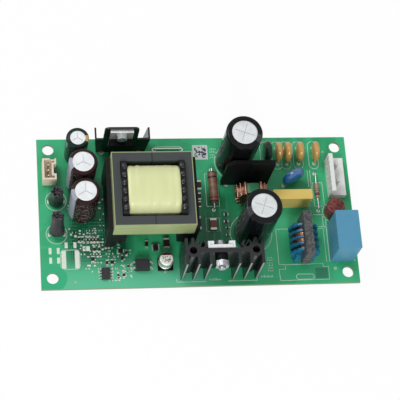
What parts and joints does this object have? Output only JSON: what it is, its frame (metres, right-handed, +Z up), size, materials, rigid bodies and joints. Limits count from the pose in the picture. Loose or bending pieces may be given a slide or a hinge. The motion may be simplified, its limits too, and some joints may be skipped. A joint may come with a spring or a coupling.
{
  "type": "open frame power supply",
  "caption": "Open frame mains power supply on a green circuit board, with transformer, finned heatsink, line filter, capacitors and wire headers.",
  "frame": {"origin": "under the middle of the board, level with the cut ends of the leads it rests on", "axes": "+X along the board from the output end to the mains end, +Y across it towards the rear heatsink, +Z up"},
  "size_m": [0.14, 0.07, 0.0371],
  "materials": {
    "board": "satin",
    "solder": "satin",
    "tinned_wire": "satin",
    "white_nylon": "satin",
    "ivory_nylon": "satin",
    "gold_plate": "satin",
    "maroon_plastic": "gloss",
    "blue_box": "satin",
    "yellow_box": "satin",
    "ferrite": "matt",
    "blue_bobbin": "satin",
    "enamelled_copper": "gloss",
    "blue_epoxy": "satin",
    "green_epoxy": "satin",
    "orange_epoxy": "satin",
    "beige_lacquer": "satin",
    "red_lacquer": "satin",
    "black_moulding": "matt",
    "green_core": "satin",
    "can_aluminium": "satin",
    "black_sleeve": "gloss",
    "maroon_sleeve": "gloss",
    "green_sleeve": "gloss",
    "yellow_tape": "satin",
    "green_tape": "satin",
    "black_anodised": "satin",
    "white_sheet": "matt",
    "zinc_steel": "satin"
  },
  "bodies": {
    "root": {"circuit_board": "board", "solder_joints": "solder", "component_leads": "tinned_wire", "jumper_wire": "tinned_wire", "mains_header_housing": "white_nylon", "mains_header_pins": "tinned_wire", "input_fuse": "maroon_plastic", "x_capacitor": "blue_box", "line_filter_core": "ferrite", "line_filter_bobbin": "blue_bobbin", "line_filter_windings": "enamelled_copper", "varistor": "blue_epoxy", "thermistor": "green_epoxy", "y_capacitor_1": "orange_epoxy", "y_capacitor_2": "orange_epoxy", "y_capacitor_3": "orange_epoxy", "y_capacitor_4": "orange_epoxy", "bleeder_resistor": "beige_lacquer", "film_capacitor": "yellow_box", "bridge_rectifier": "black_moulding", "toroid_core": "green_core", "toroid_windings": "enamelled_copper", "bulk_capacitor_1": "can_aluminium", "bulk_sleeve_1": "black_sleeve", "bulk_capacitor_2": "can_aluminium", "bulk_sleeve_2": "black_sleeve", "transformer_core_left": "ferrite", "transformer_core_right": "ferrite", "transformer_bobbin": "black_moulding", "transformer_winding": "yellow_tape", "transformer_tape": "green_tape", "transformer_pins": "tinned_wire", "front_heatsink": "black_anodised", "heatsink_pins": "tinned_wire", "rear_heatsink": "black_anodised", "front_transistor_body": "black_moulding", "front_transistor_frame": "tinned_wire", "rear_transistor_body": "black_moulding", "rear_transistor_frame": "tinned_wire", "insulating_cap": "white_sheet", "insulating_bush": "black_moulding", "heatsink_screws": "zinc_steel", "heatsink_nut": "zinc_steel", "power_resistor": "red_lacquer", "output_header_housing": "ivory_nylon", "output_header_pins": "gold_plate", "output_capacitor_1": "can_aluminium", "output_sleeve_1": "maroon_sleeve", "output_capacitor_2": "can_aluminium", "output_sleeve_2": "maroon_sleeve", "auxiliary_capacitor": "can_aluminium", "auxiliary_sleeve": "green_sleeve", "output_choke_1": "black_sleeve", "output_choke_2": "black_sleeve", "smd_capacitor_can": "can_aluminium", "smd_capacitor_base": "black_moulding", "controller_chip": "black_moulding", "optocoupler": "black_moulding", "smd_bodies": "black_moulding", "smd_metal": "tinned_wire"}
  },
  "joints": []
}
